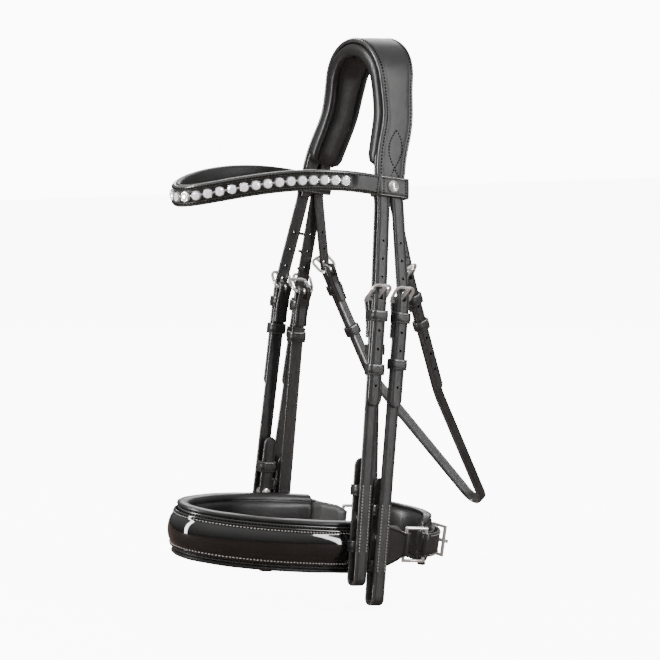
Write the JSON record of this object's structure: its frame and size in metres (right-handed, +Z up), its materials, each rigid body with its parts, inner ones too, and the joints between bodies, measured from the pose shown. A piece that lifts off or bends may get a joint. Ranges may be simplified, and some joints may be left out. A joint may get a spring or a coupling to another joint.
{
  "type": "double bridle",
  "caption": "Horse bridle in black leather: padded headpiece, jewelled browband, throatlatch, padded crank noseband with a patent front, and paired cheekpieces ending in empty bit loops.",
  "frame": {"origin": "middle of the headpiece's underside, where it rests on the poll", "axes": "+X is the horse's left, -Y is forward towards the nose, +Z is up"},
  "size_m": [0.1854, 0.34, 0.4963],
  "materials": {
    "leather_black": "satin vegetable-tanned strap leather with bevelled edges",
    "padding_black": "soft matt leather over padding",
    "patent": "patent leather, mirror-bright lacquer",
    "steel": "polished stainless steel",
    "setting": "dark metal cups",
    "crystal": "clear cut crystal"
  },
  "bodies": {
    "headpiece": {"crown_leather": "leather_black", "crown_padding": "padding_black", "noseband_poll_strap": "leather_black", "throatlatch_poll_strap": "leather_black", "noseband_hangers": "leather_black", "hanger_buckles": "steel", "hanger_keepers": "leather_black"},
    "browband": {"browband_leather": "leather_black", "browband_lining": "padding_black", "browband_settings": "setting", "browband_crystals": "crystal", "browband_buttons": "steel"},
    "throatlatch": {"throatlatch_strap": "leather_black", "throatlatch_billets": "leather_black", "throatlatch_buckles": "steel", "throatlatch_keepers": "leather_black"},
    "noseband": {"noseband_leather": "leather_black", "noseband_patent": "patent", "noseband_padding": "padding_black", "noseband_rings": "steel", "crank_strap": "leather_black", "crank_buckle": "steel", "chin_pad": "padding_black"},
    "crank_tongue": {"crank_tongue": "steel"},
    "front_cheek_left": {"front_cheek_billet_left": "leather_black", "front_cheek_strap_left": "leather_black", "front_cheek_buckle_left": "steel", "front_cheek_keepers_left": "leather_black", "front_cheek_stud_left": "steel"},
    "front_cheek_left_tongue": {"front_cheek_tongue_left": "steel"},
    "front_cheek_left_runner": {"front_cheek_runner_left": "leather_black"},
    "rear_cheek_left": {"rear_cheek_billet_left": "leather_black", "rear_cheek_strap_left": "leather_black", "rear_cheek_buckle_left": "steel", "rear_cheek_keepers_left": "leather_black", "rear_cheek_stud_left": "steel"},
    "rear_cheek_left_tongue": {"rear_cheek_tongue_left": "steel"},
    "rear_cheek_left_runner": {"rear_cheek_runner_left": "leather_black"},
    "hanger_tongue_left": {"hanger_tongue_left": "steel"},
    "hanger_runner_left": {"hanger_runner_left": "leather_black"},
    "throatlatch_tongue_left": {"throatlatch_tongue_left": "steel"},
    "throatlatch_runner_left": {"throatlatch_runner_left": "leather_black"},
    "front_cheek_right": {"front_cheek_billet_right": "leather_black", "front_cheek_strap_right": "leather_black", "front_cheek_buckle_right": "steel", "front_cheek_keepers_right": "leather_black", "front_cheek_stud_right": "steel"},
    "front_cheek_right_tongue": {"front_cheek_tongue_right": "steel"},
    "front_cheek_right_runner": {"front_cheek_runner_right": "leather_black"},
    "rear_cheek_right": {"rear_cheek_billet_right": "leather_black", "rear_cheek_strap_right": "leather_black", "rear_cheek_buckle_right": "steel", "rear_cheek_keepers_right": "leather_black", "rear_cheek_stud_right": "steel"},
    "rear_cheek_right_tongue": {"rear_cheek_tongue_right": "steel"},
    "rear_cheek_right_runner": {"rear_cheek_runner_right": "leather_black"},
    "hanger_tongue_right": {"hanger_tongue_right": "steel"},
    "hanger_runner_right": {"hanger_runner_right": "leather_black"},
    "throatlatch_tongue_right": {"throatlatch_tongue_right": "steel"},
    "throatlatch_runner_right": {"throatlatch_runner_right": "leather_black"}
  },
  "joints": [
    {"name": "browband_slide", "type": "slide", "parent": "headpiece", "child": "browband", "axis": [0, 0, 1], "range_m": [-0.001, 0.003]},
    {"name": "throatlatch_swing", "type": "hinge", "parent": "headpiece", "child": "throatlatch", "pos_m": [0, 0.003, -0.129], "axis": [1, 0, 0], "range_deg": [0, 12]},
    {"name": "noseband_tilt", "type": "hinge", "parent": "headpiece", "child": "noseband", "pos_m": [0, -0.03, -0.418], "axis": [1, 0, 0], "range_deg": [0, 12], "stiffness_Nm_per_rad": 0.2},
    {"name": "crank_tongue_turn", "type": "hinge", "parent": "noseband", "child": "crank_tongue", "pos_m": [0.01848, 0.07772, -0.44333], "axis": [0.0523, 0.1217, 0.9912], "range_deg": [0, 8]},
    {"name": "front_cheek_left_swing", "type": "hinge", "parent": "headpiece", "child": "front_cheek_left", "pos_m": [0.06263, -0.0115, -0.129], "axis": [0, -0.9837, 0.1799], "range_deg": [0, 20]},
    {"name": "front_cheek_left_tongue_turn", "type": "hinge", "parent": "front_cheek_left", "child": "front_cheek_left_tongue", "pos_m": [0.072, -0.0265, -0.2115], "axis": [0, 0.994, -0.1097], "range_deg": [0, 8]},
    {"name": "front_cheek_left_runner_slide", "type": "slide", "parent": "front_cheek_left", "child": "front_cheek_left_runner", "axis": [-0.0436, 0.1096, 0.993], "range_m": [-0.026, 0.02285]},
    {"name": "rear_cheek_left_swing", "type": "hinge", "parent": "headpiece", "child": "rear_cheek_left", "pos_m": [0.06263, 0.0035, -0.129], "axis": [0, -0.9976, 0.0685], "range_deg": [0, 20]},
    {"name": "rear_cheek_left_tongue_turn", "type": "hinge", "parent": "rear_cheek_left", "child": "rear_cheek_left_tongue", "pos_m": [0.073, -0.0025, -0.215], "axis": [0, 0.9907, -0.1357], "range_deg": [0, 8]},
    {"name": "rear_cheek_left_runner_slide", "type": "slide", "parent": "rear_cheek_left", "child": "rear_cheek_left_runner", "axis": [-0.0576, 0.1355, 0.9891], "range_m": [-0.032, 0.01685]},
    {"name": "hanger_tongue_left_turn", "type": "hinge", "parent": "headpiece", "child": "hanger_tongue_left", "pos_m": [0.0545, -0.0172, -0.2145], "axis": [0, 0.998, -0.0628], "range_deg": [0, 6]},
    {"name": "hanger_runner_left_slide", "type": "slide", "parent": "headpiece", "child": "hanger_runner_left", "axis": [-0.0565, 0.0627, 0.9964], "range_m": [-0.044, 0.00485]},
    {"name": "throatlatch_tongue_left_turn", "type": "hinge", "parent": "throatlatch", "child": "throatlatch_tongue_left", "pos_m": [0.0592, 0.0154, -0.196], "axis": [0, 0.9205, 0.3907], "range_deg": [0, 8]},
    {"name": "throatlatch_runner_left_slide", "type": "slide", "parent": "throatlatch", "child": "throatlatch_runner_left", "axis": [0.1201, -0.3879, 0.9138], "range_m": [-0.061, 0.00785]},
    {"name": "front_cheek_right_swing", "type": "hinge", "parent": "headpiece", "child": "front_cheek_right", "pos_m": [-0.06263, -0.0115, -0.129], "axis": [0, 0.9837, -0.1799], "range_deg": [0, 20]},
    {"name": "front_cheek_right_tongue_turn", "type": "hinge", "parent": "front_cheek_right", "child": "front_cheek_right_tongue", "pos_m": [-0.072, -0.0265, -0.2115], "axis": [0, -0.994, 0.1097], "range_deg": [0, 8]},
    {"name": "front_cheek_right_runner_slide", "type": "slide", "parent": "front_cheek_right", "child": "front_cheek_right_runner", "axis": [0.0436, 0.1096, 0.993], "range_m": [-0.048, 0.00085]},
    {"name": "rear_cheek_right_swing", "type": "hinge", "parent": "headpiece", "child": "rear_cheek_right", "pos_m": [-0.06263, 0.0035, -0.129], "axis": [0, 0.9976, -0.0685], "range_deg": [0, 20]},
    {"name": "rear_cheek_right_tongue_turn", "type": "hinge", "parent": "rear_cheek_right", "child": "rear_cheek_right_tongue", "pos_m": [-0.073, -0.0025, -0.215], "axis": [0, -0.9907, 0.1357], "range_deg": [0, 8]},
    {"name": "rear_cheek_right_runner_slide", "type": "slide", "parent": "rear_cheek_right", "child": "rear_cheek_right_runner", "axis": [0.0576, 0.1355, 0.9891], "range_m": [-0.046, 0.00285]},
    {"name": "hanger_tongue_right_turn", "type": "hinge", "parent": "headpiece", "child": "hanger_tongue_right", "pos_m": [-0.0545, -0.0172, -0.2145], "axis": [0, -0.998, 0.0628], "range_deg": [0, 6]},
    {"name": "hanger_runner_right_slide", "type": "slide", "parent": "headpiece", "child": "hanger_runner_right", "axis": [0.0565, 0.0627, 0.9964], "range_m": [-0.044, 0.00485]},
    {"name": "throatlatch_tongue_right_turn", "type": "hinge", "parent": "throatlatch", "child": "throatlatch_tongue_right", "pos_m": [-0.0592, 0.0154, -0.196], "axis": [0, -0.9205, -0.3907], "range_deg": [0, 8]},
    {"name": "throatlatch_runner_right_slide", "type": "slide", "parent": "throatlatch", "child": "throatlatch_runner_right", "axis": [-0.1201, -0.3879, 0.9138], "range_m": [-0.044, 0.02485]}
  ]
}
